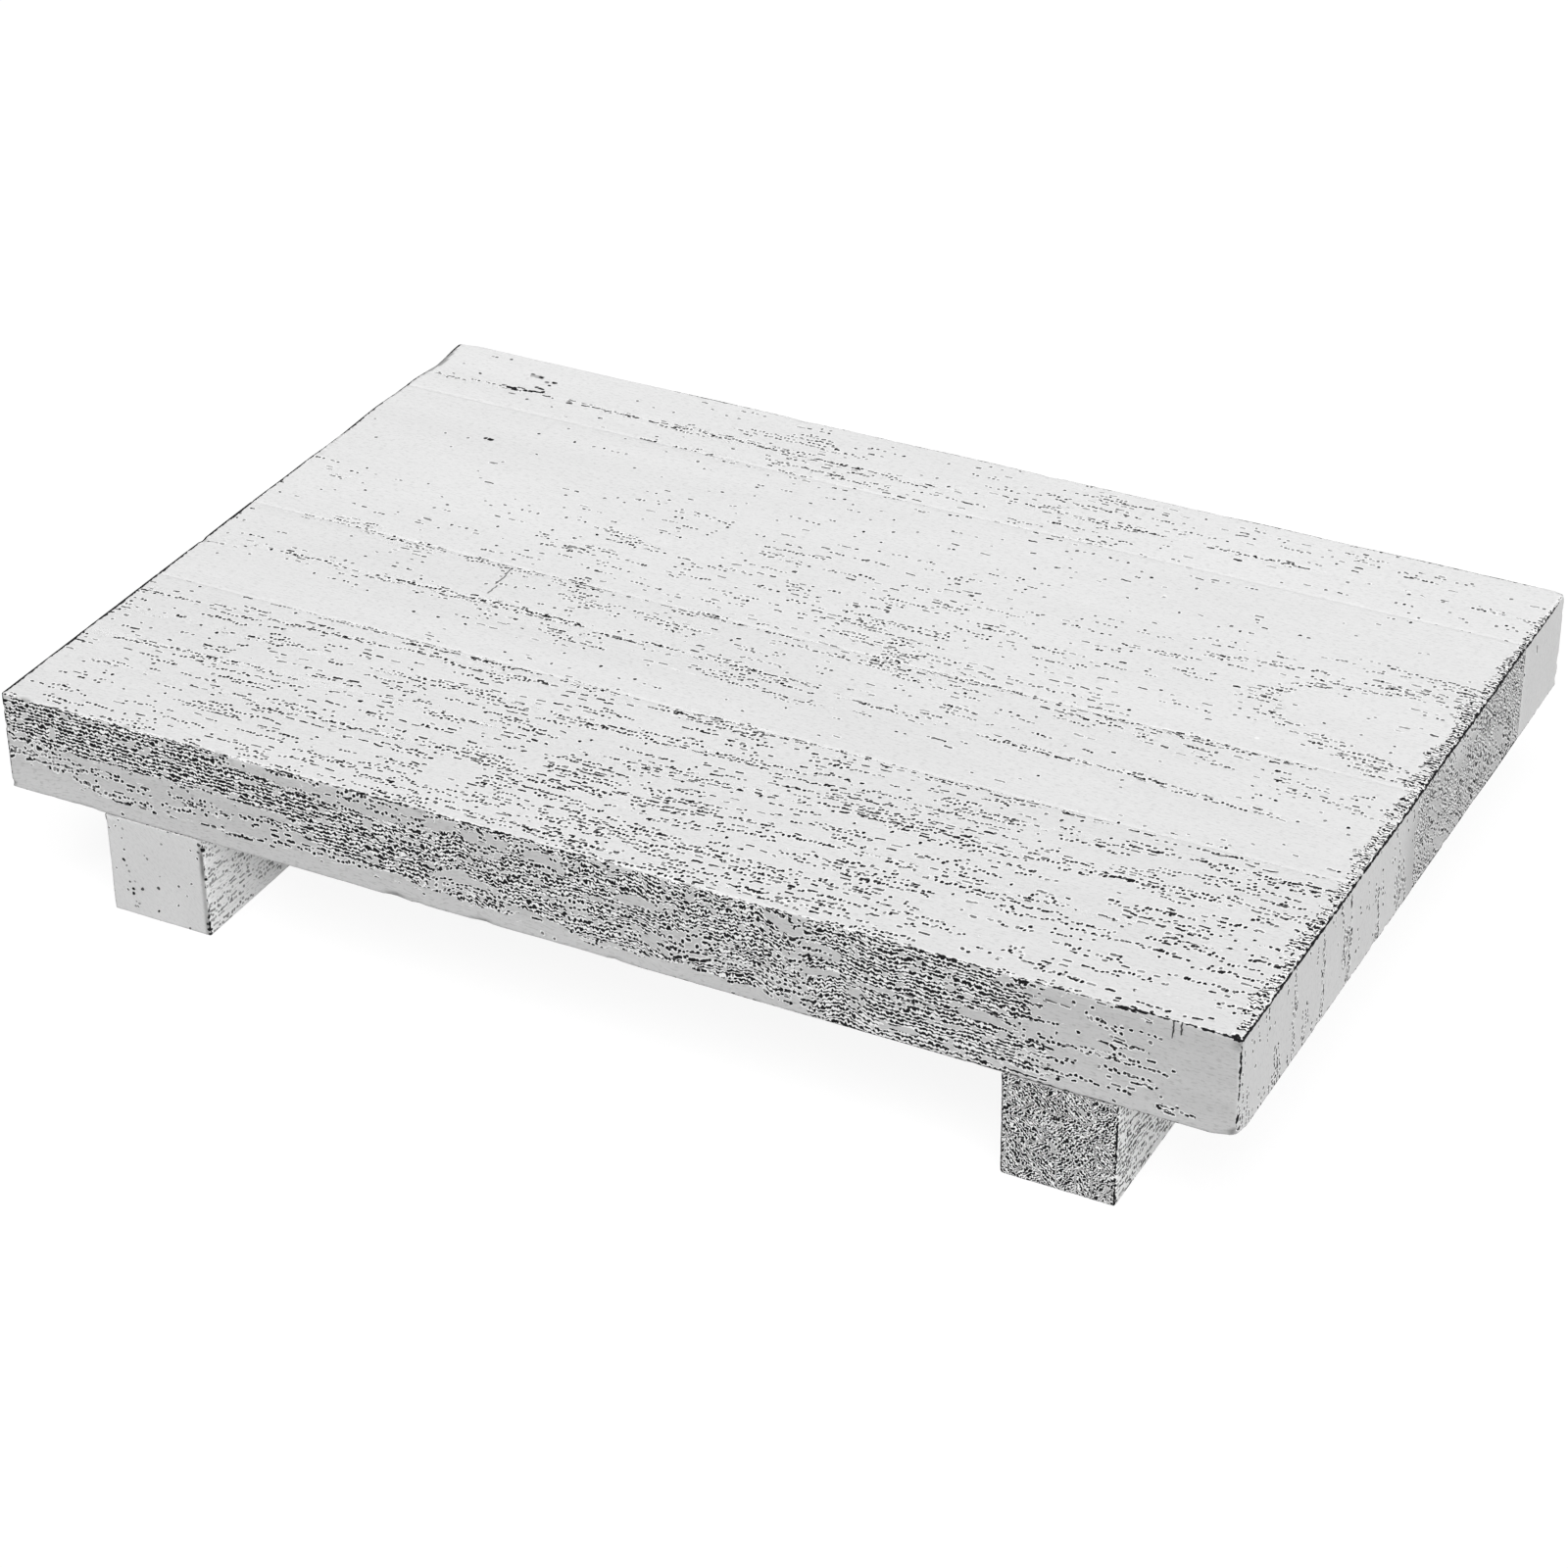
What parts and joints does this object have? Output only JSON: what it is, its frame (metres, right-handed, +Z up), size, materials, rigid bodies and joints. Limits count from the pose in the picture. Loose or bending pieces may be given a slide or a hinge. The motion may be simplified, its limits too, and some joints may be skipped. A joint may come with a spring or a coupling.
{
  "type": "soap riser stand",
  "caption": "Low rectangular riser stand of whitewashed wood: an edge-glued top on foot battens that run front to back, fixed from below with countersunk screws.",
  "frame": {"origin": "on the surface that the stand rests on, under the middle of the top", "axes": "+X along the top's long side, to the right seen from the front; +Y to the back; +Z up"},
  "size_m": [0.24, 0.16, 0.0405],
  "materials": {
    "painted_wood": "thin matt white paint, worn along the grain so that dark pores and arrises show",
    "porous_painted_wood": "thin matt white paint over coarser, darker grain with dense open pores",
    "zinc_steel": "bright zinc plate"
  },
  "bodies": {
    "root": {"top_stave_front": "porous_painted_wood", "top_stave_front_middle": "painted_wood", "top_stave_back_middle": "painted_wood", "top_stave_back": "painted_wood", "foot_batten_left": "painted_wood", "foot_batten_right": "porous_painted_wood", "foot_screw_left_front": "zinc_steel", "foot_screw_left_back": "zinc_steel", "foot_screw_right_front": "zinc_steel", "foot_screw_right_back": "zinc_steel"}
  },
  "joints": []
}
